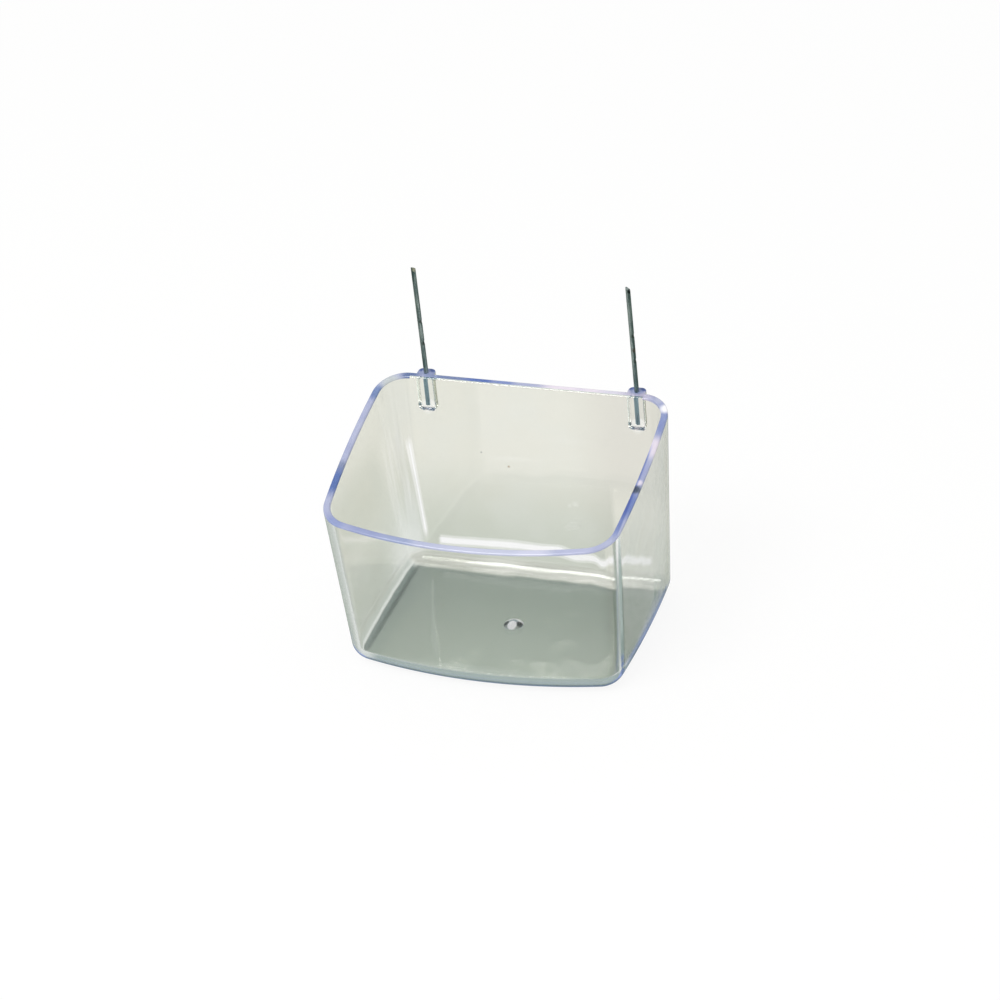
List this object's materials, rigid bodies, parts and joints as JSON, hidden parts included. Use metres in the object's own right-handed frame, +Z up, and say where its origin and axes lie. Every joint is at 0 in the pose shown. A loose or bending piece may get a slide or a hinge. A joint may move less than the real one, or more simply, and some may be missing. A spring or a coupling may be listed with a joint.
{
  "type": "seed cup",
  "caption": "Clear plastic seed cup for a bird cage, with a slanted rim and straight hanging wires pressed into sockets on its back wall.",
  "frame": {"origin": "centre of the flat base, on the surface the cup stands on", "axes": "+X to the right seen from the front, +Y to the back wall with the wires, +Z up"},
  "size_m": [0.0802, 0.0616, 0.0877],
  "materials": {
    "clear_plastic": "clear moulded polystyrene, polished, with a faint grey-green tint",
    "galvanised_wire": "zinc-coated drawn wire, dull grey, with cut ends"
  },
  "bodies": {
    "root": {"cup": "clear_plastic", "left_wire": "galvanised_wire", "right_wire": "galvanised_wire"}
  },
  "joints": []
}
